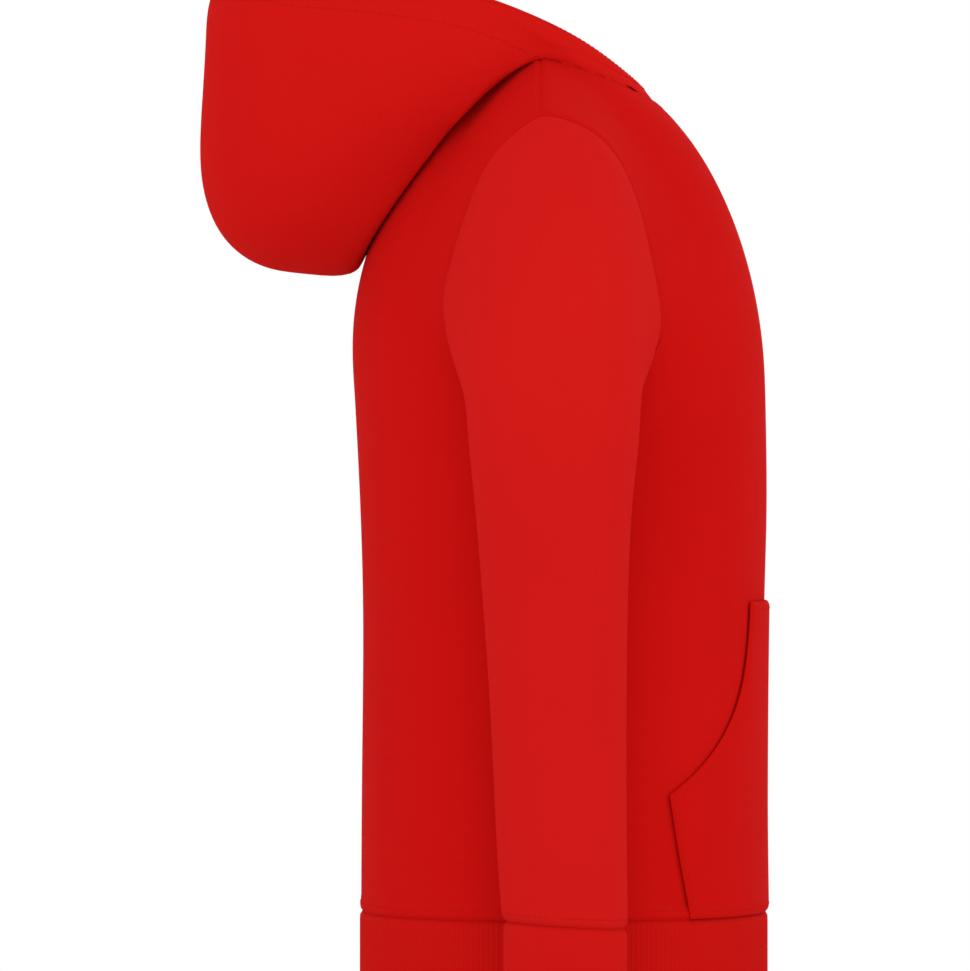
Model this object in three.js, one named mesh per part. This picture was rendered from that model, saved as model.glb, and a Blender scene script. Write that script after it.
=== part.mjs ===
// Kids' pullover hoodie, size 122/128, filled out as when worn, with the hood down.
// Millimetres, +Z up, the front faces -Y and the wearer's left is +X.
// The origin lies midway between the two neck ends of the shoulder seams, which lie in the plane Y = 0.
import * as THREE from 'three';

// Driving dimensions
const clothThickness = 1.8;         // brushed sweatshirt fleece
const hoodThickness = 2.4;          // the hood is made double
const ribThickness = 2.4;           // the rib bands are folded double
const seamGap = 0.4;                // between two pieces that are sewn together
const hoodLift = 1.2;               // the hood stands this far above the neckline
const hemSeamZ = -459;              // where the body and the sleeves join their rib bands
const ribHeight = 44;
const underarmZ = -181;
const sideSeamY = -9;
const sectionPower = 2.4;           // 2 would be an ellipse, more is squarer
const neckHalfWidth = 72;
const neckFront = { y: -62.5, z: -22.7 };
const neckBack = { y: 38.5, z: -17 };
const shoulderTip = { x: 152, z: -34 };
const sleeveSeamTilt = 0.065;       // the sleeve's end is lower at the front
const pocketGap = 0.9;              // between the pocket and the front panel under it
const underarmGap = 2.2;            // the sleeve hangs just clear of the side of the body
const cuffInset = 1.4;              // the cuff is a little narrower than the sleeve

// How many steps the panels are made in
const neckColumns = 6;
const shoulderColumns = 8;
const bodyRows = 11;
const yokeRows = 11;
const capRows = 9;
const sleeveRows = 8;
const hemSegments = 56;
const hoodColumns = 14;
const hoodRows = 24;
const napeRows = 5;                 // extra rows where the hood turns over at the nape
const napeShare = 0.06;
const pocketColumns = 30;
const pocketSideRows = 4;
const pocketMouthRows = 8;

// Horizontal sections of the body, one row for each height
const bodySections = [
  { z: -459, halfWidth: 153, front: -120.8, back: 96.9 },
  { z: -400, halfWidth: 153, front: -120.2, back: 96.6 },
  { z: -300, halfWidth: 151, front: -121, back: 95.8 },
  { z: -240, halfWidth: 150, front: -122.6, back: 97.4 },
  { z: -181, halfWidth: 151, front: -121.8, back: 100.4 },
];

// The rib band at the hem, one section all the way down
const hemSection = { halfWidth: 153.6, front: -122.8, back: 97.4 };

// The edge of the armhole on the wearer's left, from the underarm up to the tip of the shoulder
const armholeFront = [
  { x: 151, y: -9, z: -181 },
  { x: 150, y: -32, z: -177.5 },
  { x: 147.5, y: -51, z: -167 },
  { x: 145, y: -63, z: -151 },
  { x: 142.5, y: -61.5, z: -128 },
  { x: 141.5, y: -57.3, z: -106 },
  { x: 142.5, y: -52, z: -83 },
  { x: 146, y: -44, z: -62 },
  { x: 149.5, y: -28.5, z: -42 },
  { x: 152, y: 0, z: -34 },
];
const armholeBack = [
  { x: 151, y: -9, z: -181 },
  { x: 150.5, y: 14, z: -177.5 },
  { x: 149, y: 36, z: -166 },
  { x: 147.5, y: 50, z: -149 },
  { x: 146, y: 52.5, z: -131 },
  { x: 145.5, y: 49, z: -114 },
  { x: 146, y: 44, z: -97 },
  { x: 148, y: 37.5, z: -77 },
  { x: 150.5, y: 24, z: -51 },
  { x: 152, y: 0, z: -34 },
];

// Horizontal sections of the left sleeve below its cap
const sleeveSections = [
  { z: -206, x: 198, y: -6, across: 42, deep: 43.5 },
  { z: -240, x: 197, y: -5.8, across: 40, deep: 39.5 },
  { z: -280, x: 196, y: -6.6, across: 38, deep: 37 },
  { z: -330, x: 195, y: -8, across: 35.5, deep: 34.7 },
  { z: -385, x: 193.5, y: -9.4, across: 33.5, deep: 33.2 },
  { z: -440, x: 192.5, y: -10.8, across: 32, deep: 32.2 },
  { z: -459, x: 192, y: -12, across: 31.4, deep: 31.4 },
];

// The centre seam of the hood, from the nape down, round the bottom of the bag and up to its rolled rim
const hoodCentre = [
  { y: 38.8, z: -16.5 },
  { y: 42, z: -11.5 },
  { y: 49.5, z: -16 },
  { y: 59, z: -36 },
  { y: 76, z: -62 },
  { y: 88.5, z: -85 },
  { y: 97.5, z: -104.5 },
  { y: 109, z: -114 },
  { y: 128, z: -117 },
  { y: 146, z: -115 },
  { y: 161, z: -108.5 },
  { y: 175.5, z: -93 },
  { y: 183.5, z: -70 },
  { y: 185, z: -48 },
  { y: 183.5, z: -21 },
  { y: 181.8, z: 5 },
  { y: 180.2, z: 31 },
  { y: 174, z: 44 },
  { y: 162, z: 48 },
  { y: 151, z: 42 },
  { y: 147, z: 28 },
];

// The rim of the hood's left half, from the front of the neck round to the centre seam
const hoodRim = [
  { x: 3, y: -57.5, z: -16.5 },
  { x: 33, y: -46.5, z: -8 },
  { x: 58, y: -22, z: 9.5 },
  { x: 75, y: 6, z: 22.5 },
  { x: 84, y: 42, z: 34.5 },
  { x: 81, y: 84, z: 41 },
  { x: 64, y: 122, z: 41 },
  { x: 34, y: 142, z: 33 },
  { x: 0, y: 147, z: 28 },
];

// Half of the pocket's outline, measured along the cloth from the centre front
const pocketTopZ = -292;
const pocketSide = [
  { along: 142.2, z: -459 },
  { along: 149.5, z: -427 },
  { along: 155.5, z: -393.3 },
];
const pocketOpening = [
  { along: 155.5, z: -393.3 },
  { along: 145, z: -387 },
  { along: 123.3, z: -371 },
  { along: 106.8, z: -356 },
  { along: 91.8, z: -337 },
  { along: 82.7, z: -314 },
  { along: 79.8, z: -292 },
];

const colours = {
  body: '#c4160f',
  sleeve: '#cd1b16',
  hood: '#c91a15',
  rib: '#bf120e',
};

const mix = THREE.MathUtils.lerp;
const quarterTurn = Math.PI / 2;

function spline(table) {
  return new THREE.CatmullRomCurve3(table.map((row) => new THREE.Vector3(row.x ?? 0, row.y, row.z)));
}

// Reads a table of sections at a height, on smooth curves through its rows
function sectionAt(table, z) {
  const rising = table[0].z < table[table.length - 1].z;
  const rows = rising ? table : [...table].reverse();
  const last = rows.length - 1;
  let i = 0;
  while (i < last - 1 && z > rows[i + 1].z) i += 1;
  const share = THREE.MathUtils.clamp((z - rows[i].z) / (rows[i + 1].z - rows[i].z), 0, 1);
  const result = {};
  for (const name of Object.keys(rows[0])) {
    const before = rows[Math.max(i - 1, 0)];
    const after = rows[Math.min(i + 2, last)];
    const slopeIn = (rows[i + 1][name] - before[name]) / (rows[i + 1].z - before.z);
    const slopeOut = (after[name] - rows[i][name]) / (after.z - rows[i].z);
    const step = rows[i + 1].z - rows[i].z;
    const s2 = share * share;
    const s3 = s2 * share;
    result[name] = rows[i][name] * (2 * s3 - 3 * s2 + 1) + slopeIn * step * (s3 - 2 * s2 + share)
      + rows[i + 1][name] * (3 * s2 - 2 * s3) + slopeOut * step * (s3 - s2);
  }
  return result;
}

// A point of the body's horizontal section, from the centre (turn = 0) to the side seam (turn = 1)
function sectionPoint(turn, z, face, section = sectionAt(bodySections, z)) {
  const angle = Math.abs(turn) * quarterTurn;
  const depth = (face === 'front' ? section.front : section.back) - sideSeamY;
  const x = section.halfWidth * Math.pow(Math.sin(angle), 2 / sectionPower);
  const y = sideSeamY + depth * Math.pow(Math.max(Math.cos(angle), 0), 2 / sectionPower);
  return new THREE.Vector3(Math.sign(turn) * x, y, z);
}

const neckTurn = 0.444;

// The upper edge of a body panel: the neckline, then the shoulder seam
function topPoint(turn, face) {
  const t = Math.abs(turn);
  if (t < neckTurn) {
    const angle = (t / neckTurn) * quarterTurn;
    const middle = face === 'front' ? neckFront : neckBack;
    const rise = Math.pow(Math.cos(angle), 1.15);
    return new THREE.Vector3(neckHalfWidth * Math.sin(angle), middle.y * Math.cos(angle), middle.z * rise);
  }
  const share = (t - neckTurn) / (1 - neckTurn);
  return new THREE.Vector3(mix(neckHalfWidth, shoulderTip.x, share), 0, shoulderTip.z * share);
}

// How the cloth arrives at the upper edge, and how full the chest or the shoulder blades are
const fullness = {
  front: { lift: [67, 60, 62], lean: [0, 0, 0], reach: [44, 52, 34], climb: [0.68, 0.3, 0.06] },
  back: { lift: [76, 66, 60], lean: [9, 5, 0], reach: [60, 48, 34], climb: [0.78, 0.4, 0.06] },
};

function byTurn(values, turn) {
  const [middle, neck, tip] = values;
  const t = Math.abs(turn);
  return t < neckTurn ? mix(middle, neck, t / neckTurn) : mix(neck, tip, (t - neckTurn) / (1 - neckTurn));
}

// The form of the chest and back above the underarm, before the armhole is cut
function yokeForm(turn, rise, face) {
  const full = fullness[face];
  const toBack = face === 'front' ? 1 : -1;
  const start = sectionPoint(Math.abs(turn), underarmZ, face);
  const end = topPoint(turn, face);
  const climb = byTurn(full.climb, turn);
  const level = Math.sqrt(1 - climb * climb) * toBack;
  const reach = byTurn(full.reach, turn);
  const lifted = start.clone().add(new THREE.Vector3(0, byTurn(full.lean, turn), byTurn(full.lift, turn)));
  const arriving = end.clone().sub(new THREE.Vector3(0, level * reach, climb * reach));
  return new THREE.CubicBezierCurve3(start, lifted, arriving, end).getPoint(rise);
}

const armholes = { front: spline(armholeFront), back: spline(armholeBack) };

// Where on the form a height of the armhole lies
function armholeTurn(rise, face) {
  if (rise < 1e-6 || rise > 1 - 1e-6) return 1;
  const target = armholes[face].getPointAt(rise);
  let best = { turn: 1, distance: Infinity };
  for (let turn = 0.5; turn <= 1; turn += 0.002) {
    const point = yokeForm(turn, rise, face);
    const distance = Math.hypot(point.x - target.x, point.y - target.y);
    if (distance < best.distance) best = { turn, distance };
  }
  return best.turn;
}

const armholeTurns = { front: [], back: [] };
for (const face of ['front', 'back']) {
  for (let row = 0; row <= yokeRows; row += 1) armholeTurns[face].push(armholeTurn(row / yokeRows, face));
}

function smoothedTurn(rise, face) {
  const place = THREE.MathUtils.clamp(rise * yokeRows, 0, yokeRows);
  const i = Math.min(Math.floor(place), yokeRows - 1);
  return mix(armholeTurns[face][i], armholeTurns[face][i + 1], place - i);
}

// A point of a body panel: across is -1 to 1, up is 0 at the hem, 1 at the underarm and 2 at the top
function bodyPoint(across, up, face) {
  const t = Math.abs(across);
  const side = Math.sign(across) || 1;
  let point;
  if (up <= 1) {
    point = sectionPoint(t, mix(hemSeamZ, underarmZ, up), face);
  } else {
    const rise = Math.min(up - 1, 1);
    const edge = smoothedTurn(rise, face);
    const target = armholes[face].getPointAt(rise);
    const pull = target.sub(yokeForm(edge, rise, face)).multiplyScalar(Math.pow(t, 4));
    point = yokeForm(t * edge, rise, face).add(pull);
  }
  point.x *= side;
  return point;
}

// Makes a closed wall of cloth from a surface: at(u, v) is its outer face
function clothWall({ at, us, vs, thickness, wrap = false, outward = 1, flat = () => null }) {
  const rows = vs.length;
  const columns = us.length;
  const small = 1e-3;
  const span = { u: [us[0], us[columns - 1]], v: [vs[0], vs[rows - 1]] };
  const outer = [];
  const inner = [];
  for (const v of vs) {
    for (const u of us) {
      const uLow = wrap ? u - small : Math.max(u - small, span.u[0]);
      const uHigh = wrap ? u + small : Math.min(u + small, span.u[1]);
      const vLow = Math.max(v - small, span.v[0]);
      const vHigh = Math.min(v + small, span.v[1]);
      const alongU = at(uHigh, v).sub(at(uLow, v));
      const alongV = at(u, vHigh).sub(at(u, vLow));
      const normal = alongU.cross(alongV);
      const plane = flat(u, v);
      if (plane) normal[plane] = 0;
      normal.normalize().multiplyScalar(outward * thickness);
      const point = at(u, v);
      outer.push(point);
      inner.push(point.clone().sub(normal));
    }
  }
  const index = (row, column) => row * columns + ((column + columns) % columns);
  for (const layer of [outer, inner]) {
    const moved = layer.map((point) => point.clone());
    const pull = (row, column, towardRow, towardColumn) => {
      const here = layer[index(row, column)];
      const step = layer[index(towardRow, towardColumn)].clone().sub(here).setLength(seamGap / 2);
      moved[index(row, column)].add(step);
    };
    for (let column = 0; column < columns; column += 1) {
      pull(0, column, 1, column);
      pull(rows - 1, column, rows - 2, column);
    }
    if (!wrap) {
      for (let row = 0; row < rows; row += 1) {
        pull(row, 0, row, 1);
        pull(row, columns - 1, row, columns - 2);
      }
    }
    layer.splice(0, layer.length, ...moved);
  }
  const points = [...outer, ...inner];
  const offset = outer.length;
  const faces = [];
  const quad = (a, b, c, d) => faces.push([a, b, c], [a, c, d]);
  const lastColumn = wrap ? columns : columns - 1;
  for (let row = 0; row < rows - 1; row += 1) {
    for (let column = 0; column < lastColumn; column += 1) {
      const a = index(row, column);
      const b = index(row, column + 1);
      const c = index(row + 1, column + 1);
      const d = index(row + 1, column);
      quad(a, b, c, d);
      quad(offset + a, offset + d, offset + c, offset + b);
    }
  }
  for (let column = 0; column < lastColumn; column += 1) {
    const low = [index(0, column), index(0, column + 1)];
    const high = [index(rows - 1, column), index(rows - 1, column + 1)];
    quad(low[0], offset + low[0], offset + low[1], low[1]);
    quad(high[1], offset + high[1], offset + high[0], high[0]);
  }
  if (!wrap) {
    for (let row = 0; row < rows - 1; row += 1) {
      const left = [index(row, 0), index(row + 1, 0)];
      const right = [index(row, columns - 1), index(row + 1, columns - 1)];
      quad(left[1], offset + left[1], offset + left[0], left[0]);
      quad(right[0], offset + right[0], offset + right[1], right[1]);
    }
  }
  let volume = 0;
  for (const [a, b, c] of faces) volume += points[a].dot(points[b].clone().cross(points[c]));
  if (volume < 0) faces.forEach((face) => face.reverse());
  const geometry = new THREE.BufferGeometry().setFromPoints(points);
  geometry.setIndex(faces.flat());
  return geometry;
}

function mirrored(geometry) {
  const copy = geometry.clone().scale(-1, 1, 1);
  const index = copy.getIndex();
  for (let i = 0; i < index.count; i += 3) {
    const first = index.getX(i);
    index.setX(i, index.getX(i + 1));
    index.setX(i + 1, first);
  }
  return copy;
}

const steps = (from, to, count) => Array.from({ length: count + 1 }, (_, i) => mix(from, to, i / count));

const hoodie = new THREE.Group();

function addPiece(name, geometry, colour) {
  const material = new THREE.MeshStandardMaterial({ color: colour, roughness: 0.92, metalness: 0 });
  const piece = new THREE.Mesh(geometry, material);
  piece.name = name;
  hoodie.add(piece);
}

// Front and back panels
const halfColumns = [...steps(0, neckTurn, neckColumns), ...steps(neckTurn, 1, shoulderColumns).slice(1)];
const bodyColumns = [...halfColumns.slice(1).map((u) => -u).reverse(), ...halfColumns];
const onSideOrShoulderSeam = (u, v) => (v > 2 - 1e-6 && Math.abs(u) > neckTurn - 1e-6)
  || (v < 1 + 1e-6 && Math.abs(u) > 1 - 1e-6);
const bodyLevels = [...steps(0, 1, bodyRows), ...steps(1, 2, yokeRows).slice(1)];
for (const face of ['front', 'back']) {
  const panel = clothWall({
    at: (u, v) => bodyPoint(u, v, face),
    us: bodyColumns,
    vs: bodyLevels,
    thickness: clothThickness,
    outward: face === 'front' ? 1 : -1,
    flat: (u, v) => (onSideOrShoulderSeam(u, v) ? 'y' : null),
  });
  addPiece(`${face}_panel`, panel, colours.body);
}

// Sleeves: the cap runs from the armhole to the first section, and a tube hangs below it
function armholeLoop(turn) {
  const t = ((turn % 1) + 1) % 1;
  return t <= 0.5 ? armholes.front.getPointAt(2 * t) : armholes.back.getPointAt(2 * (1 - t));
}

function sleeveRing(turn, z) {
  const section = sectionAt(sleeveSections, z);
  const angle = 2 * Math.PI * turn;
  const y = section.y - section.deep * Math.sin(angle);
  const tilt = sleeveSeamTilt * THREE.MathUtils.smoothstep(-z, 400, 459);
  return new THREE.Vector3(section.x - section.across * Math.cos(angle), y, z + tilt * (y - section.y));
}

const sleeveTopZ = sleeveSections[0].z;

function sleevePoint(turn, down) {
  if (down > 1) return sleeveRing(turn, mix(sleeveTopZ, hemSeamZ, down - 1));
  const start = armholeLoop(turn);
  const end = sleeveRing(turn, sleeveTopZ);
  const height = (start.z - underarmZ) / (shoulderTip.z - underarmZ);
  start.x += underarmGap * Math.pow(Math.max(1 - height, 0), 1.5);
  const out = Math.sqrt(Math.max(height, 0));
  const leave = new THREE.Vector3(mix(0.3, 0.84, out), 0, mix(-1, -0.54, out)).normalize();
  const chord = start.distanceTo(end);
  const first = start.clone().addScaledVector(leave, chord * 0.38);
  const second = end.clone().add(new THREE.Vector3(0, 0, chord * 0.36));
  return new THREE.CubicBezierCurve3(start, first, second, end).getPoint(down);
}

const sleeveTurns = steps(0, 1, 2 * yokeRows).slice(0, -1);
const sleeve = clothWall({
  at: sleevePoint,
  us: sleeveTurns,
  vs: [...steps(0, 1, capRows), ...steps(1, 2, sleeveRows).slice(1)],
  thickness: clothThickness,
  wrap: true,
  outward: 1,
});
addPiece('sleeve_left', sleeve, colours.sleeve);
addPiece('sleeve_right', mirrored(sleeve), colours.sleeve);

// Rib cuffs
function cuffPoint(turn, down) {
  const section = sectionAt(sleeveSections, hemSeamZ);
  const angle = 2 * Math.PI * turn;
  const inset = cuffInset + 0.8 * Math.pow(down, 6);
  const y = section.y - (section.deep - inset) * Math.sin(angle);
  const x = section.x - (section.across - inset) * Math.cos(angle);
  return new THREE.Vector3(x, y, hemSeamZ - ribHeight * down + sleeveSeamTilt * (y - section.y));
}

const ribLevels = [0, 0.35, 0.7, 0.93, 1];
const cuff = clothWall({
  at: cuffPoint,
  us: sleeveTurns,
  vs: ribLevels,
  thickness: ribThickness,
  wrap: true,
  outward: 1,
});
addPiece('cuff_left', cuff, colours.rib);
addPiece('cuff_right', mirrored(cuff), colours.rib);

// Rib band at the hem
function hemPoint(turn, down) {
  const quarter = (turn * 4) % 4;
  const z = hemSeamZ - ribHeight * down;
  const face = quarter < 1 || quarter >= 3 ? 'front' : 'back';
  const towardSide = quarter % 2 < 1 ? quarter % 1 : 1 - (quarter % 1);
  const point = sectionPoint(towardSide, z, face, hemSection);
  if (quarter >= 2) point.x *= -1;
  const inset = 1 - 0.006 * Math.pow(down, 6);
  return new THREE.Vector3(point.x * inset, sideSeamY + (point.y - sideSeamY) * inset, z);
}

const hem = clothWall({
  at: hemPoint,
  us: steps(0, 1, hemSegments).slice(0, -1),
  vs: ribLevels,
  thickness: ribThickness,
  wrap: true,
  outward: -1,
});
addPiece('hem_rib', hem, colours.rib);

// Kangaroo pocket, laid on the front panel
const alongSpline = (table) => spline(table.map((row) => ({ x: row.along, y: 0, z: row.z })));
const pocketSeam = alongSpline(pocketSide);
const pocketMouth = alongSpline(pocketOpening);
const cornerShare = 0.35;           // how far up the pocket the corner between the two lies

// The pocket's edge: its sewn side up to the corner, and from there the hand opening
function pocketEdge(up) {
  if (up < cornerShare) return pocketSeam.getPointAt(up / cornerShare);
  return pocketMouth.getPointAt((up - cornerShare) / (1 - cornerShare));
}

// The place on the section that lies a length along the cloth from the centre front
function turnAlong(length, z) {
  let travelled = 0;
  let last = sectionPoint(0, z, 'front');
  const count = 200;
  for (let i = 1; i <= count; i += 1) {
    const next = sectionPoint(i / count, z, 'front');
    const stretch = next.distanceTo(last);
    if (travelled + stretch > length) return (i - 1 + (length - travelled) / stretch) / count;
    travelled += stretch;
    last = next;
  }
  return 1;
}

function pocketPoint(across, up) {
  const edge = pocketEdge(up);
  const t = Math.abs(across);
  const z = mix(mix(hemSeamZ, pocketTopZ, up), edge.z, Math.pow(t, 3));
  const turn = turnAlong(edge.x * t, z);
  const small = 1e-3;
  const point = sectionPoint(turn, z, 'front');
  const ahead = sectionPoint(Math.min(turn + small, 1), z, 'front');
  const around = ahead.sub(sectionPoint(Math.max(turn - small, 0), z, 'front'));
  const out = new THREE.Vector3(-around.y, around.x, 0).normalize().negate();
  point.addScaledVector(out, pocketGap + clothThickness);
  point.x *= Math.sign(across) || 1;
  return point;
}

const pocket = clothWall({
  at: pocketPoint,
  us: steps(-1, 1, pocketColumns),
  vs: [...steps(0, cornerShare, pocketSideRows), ...steps(cornerShare, 1, pocketMouthRows).slice(1)],
  thickness: clothThickness,
  outward: 1,
});
addPiece('kangaroo_pocket', pocket, colours.body);

// Hood: each half runs from the neck seam over to the rim, and the two meet on the centre seam
const centreCurve = spline(hoodCentre);
const rimCurve = spline(hoodRim);
const hoodShoulder = 0.5;           // where the bag begins to hang behind the shoulder
const hoodCollarBulge = 6;
const hoodBagBulge = 24;
const neckShare = 0.54;             // share of the neck seam that belongs to the front

function neckSeam(along) {
  const face = along < neckShare ? 'front' : 'back';
  const share = along < neckShare ? along / neckShare : (1 - along) / (1 - neckShare);
  return topPoint(share * neckTurn, face);
}

function hoodPoint(along, over) {
  const start = neckSeam(along).add(new THREE.Vector3(0, 0, hoodLift));
  const end = rimCurve.getPointAt(THREE.MathUtils.clamp(along, 0, 1));
  const centre = centreCurve.getPointAt(over);
  const first = centreCurve.getPointAt(0);
  const last = centreCurve.getPointAt(1);
  const behind = THREE.MathUtils.clamp((along - hoodShoulder) / (1 - hoodShoulder), 0, 1);
  const sag = Math.pow(Math.sin(behind * quarterTurn), 1.6);
  const bulge = Math.sin(Math.PI * Math.pow(over, 0.8));
  const point = start.clone().lerp(end, over);
  point.y += sag * (centre.y - mix(first.y, last.y, over));
  point.z += sag * (centre.z - mix(first.z, last.z, over));
  const beside = Math.max(Math.sin(Math.PI * Math.min(along, 1)), 0);
  const belly = Math.pow(Math.max(Math.sin(Math.PI * behind), 0), 0.8);
  point.x += bulge * (hoodCollarBulge * beside + hoodBagBulge * belly);
  return point;
}

const hoodHalf = clothWall({
  at: hoodPoint,
  us: steps(0, 1, hoodColumns),
  vs: [...steps(0, napeShare, napeRows), ...steps(napeShare, 1, hoodRows).slice(1)],
  thickness: hoodThickness,
  outward: 1,
  flat: (u) => (u > 1 - 1e-6 ? 'x' : null),
});
addPiece('hood_left', hoodHalf, colours.hood);
addPiece('hood_right', mirrored(hoodHalf), colours.hood);

export default hoodie;
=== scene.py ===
# %% [markdown]
# # A kids' pullover hoodie
# A hoodie is sewn from a front, a back, two set-in sleeves, a two-piece hood, a kangaroo pocket and
# rib bands. It is shown filled out as if somebody wore it, seen from the wearer's right, with the
# hood down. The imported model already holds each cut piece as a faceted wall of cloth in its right
# place, so every cloth piece here starts from its own wall and is made soft, rolled at its seams and
# creased. That keeps the looks and the construction in one frame.

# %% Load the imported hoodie
import math

import bmesh
import bpy
import numpy as np
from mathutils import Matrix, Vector
from mathutils.bvhtree import BVHTree
from mathutils.kdtree import KDTree


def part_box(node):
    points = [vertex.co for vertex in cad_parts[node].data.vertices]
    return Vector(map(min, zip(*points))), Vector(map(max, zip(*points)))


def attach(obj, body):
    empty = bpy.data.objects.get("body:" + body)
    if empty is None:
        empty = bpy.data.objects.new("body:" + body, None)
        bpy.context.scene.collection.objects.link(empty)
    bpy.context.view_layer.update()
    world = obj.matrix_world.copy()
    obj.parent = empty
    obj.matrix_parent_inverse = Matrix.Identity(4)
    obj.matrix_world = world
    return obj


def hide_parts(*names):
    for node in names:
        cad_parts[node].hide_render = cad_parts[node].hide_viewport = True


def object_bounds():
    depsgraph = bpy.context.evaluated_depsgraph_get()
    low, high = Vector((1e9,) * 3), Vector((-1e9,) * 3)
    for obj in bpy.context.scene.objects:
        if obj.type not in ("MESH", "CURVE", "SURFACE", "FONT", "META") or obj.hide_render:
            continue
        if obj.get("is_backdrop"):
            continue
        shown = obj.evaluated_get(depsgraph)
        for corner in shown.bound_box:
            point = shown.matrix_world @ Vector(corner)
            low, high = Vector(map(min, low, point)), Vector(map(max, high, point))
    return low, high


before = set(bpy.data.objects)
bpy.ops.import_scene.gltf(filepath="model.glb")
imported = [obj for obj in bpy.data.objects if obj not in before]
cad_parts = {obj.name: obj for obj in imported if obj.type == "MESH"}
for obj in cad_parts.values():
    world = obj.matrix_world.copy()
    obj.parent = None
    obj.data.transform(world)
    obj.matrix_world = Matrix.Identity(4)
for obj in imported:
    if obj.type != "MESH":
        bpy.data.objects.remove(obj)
cad_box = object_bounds()
MM = 0.001
print("CAD pieces:", sorted(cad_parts))

# %% [markdown]
# ## Camera
# The photograph is a level side view from far away: the near sleeve is hardly larger than it would
# be in a flat drawing. A long lens a few metres off gives that. The picture is square, so the lens
# follows from the width that the picture covers at the middle of the garment.

# %% Camera
view_distance = 5.5
view_width = 0.5248
sensor_width = 36
view_centre = Vector((0, 0.0298, -0.2302))

bpy.ops.object.camera_add(location=view_centre - Vector((view_distance, 0, 0)))
camera = bpy.context.object
camera.rotation_euler = (math.radians(90), 0, math.radians(-90))
camera.data.sensor_width = sensor_width
camera.data.lens = sensor_width * view_distance / view_width
camera.data.clip_end = 50
bpy.context.scene.camera = camera
print("lens in mm:", round(camera.data.lens))

# %% [markdown]
# ## Light and floor
# The cloth is lit almost evenly, a little more from the camera's side and from above, on pure white.
# A white sky does most of the work and darkens the places that the sleeves cover. Large soft lamps
# round it out. The pale floor lies well below, because the garment hangs from its wearer's shoulders.

# %% Sky, lamps and floor
sky_strength = 1.0
floor_drop = 0.12
floor_radius = 1.9
floor_white = (0.82, 0.82, 0.82, 1)

world = bpy.data.worlds.new("white_sky")
bpy.context.scene.world = world
world.use_nodes = True
background = world.node_tree.nodes["Background"]
background.inputs["Color"].default_value = (1, 1, 1, 1)
background.inputs["Strength"].default_value = sky_strength
bpy.context.scene.view_settings.view_transform = "Standard"


def soft_lamp(name, place, size, power):
    """A square lamp, size in metres and power in watts, that looks at the middle of the hoodie."""
    bpy.ops.object.light_add(type="AREA", location=place)
    lamp = bpy.context.object
    lamp.name = name
    lamp.data.size = size
    lamp.data.energy = power
    lamp.rotation_euler = (view_centre - Vector(place)).to_track_quat("-Z", "Y").to_euler()
    return lamp


lamps = [
    soft_lamp("lamp_camera_side", (-2.7, -0.3, -0.25), 1.8, 11),
    soft_lamp("lamp_far_side", (2.6, -0.9, 0.9), 1.8, 8),
    soft_lamp("lamp_front", (-0.6, -2.8, 0.6), 1.6, 3),
    soft_lamp("lamp_back", (-0.3, 2.8, -0.4), 1.6, 5),
]
print("lamps in watts:", {lamp.name: lamp.data.energy for lamp in lamps})

floor_height = cad_box[0].z - floor_drop
bpy.ops.mesh.primitive_circle_add(
    vertices=96, radius=floor_radius, fill_type="NGON", location=(0, 0, floor_height)
)
floor = bpy.context.object
floor.name = "floor"
floor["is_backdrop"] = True
floor_paint = bpy.data.materials.new("floor_white")
floor_paint.use_nodes = True
floor_shader = floor_paint.node_tree.nodes["Principled BSDF"]
floor_shader.inputs["Base Color"].default_value = floor_white
floor_shader.inputs["Roughness"].default_value = 0.9
floor.data.materials.append(floor_paint)
print(f"floor at {floor_height * 1000:.0f} mm")

# %% [markdown]
# ## What the cloth's surface is made of
# Sweatshirt fleece is a plain jersey outside: fine columns of V-shaped stitches, far too small to see
# from a step away, with a soft bloom of loose fibre over them. Stitches as geometry would need
# millions of faces, so they are a bump. One node group draws them from the piece's own UV map, whose
# unit is a metre, so that the columns follow each cut piece as it was laid on the roll of cloth.

# %% Node group: knitted face
fibre_scale = 1400
cloud_scale = 9


def group_socket(group, name, direction, kind="NodeSocketFloat", value=None):
    """Adds an input or an output to a node group."""
    socket = group.interface.new_socket(name=name, in_out=direction, socket_type=kind)
    if value is not None:
        socket.default_value = value


def calculate(tree, operation, first, second=None, third=None):
    """Adds a maths node to a tree and gives back its result."""
    node = tree.nodes.new("ShaderNodeMath")
    node.operation = operation
    for slot, value in zip(node.inputs, (first, second, third)):
        if value is None:
            continue
        if isinstance(value, (int, float)):
            slot.default_value = value
        else:
            tree.links.new(value, slot)
    return node.outputs[0]


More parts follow.
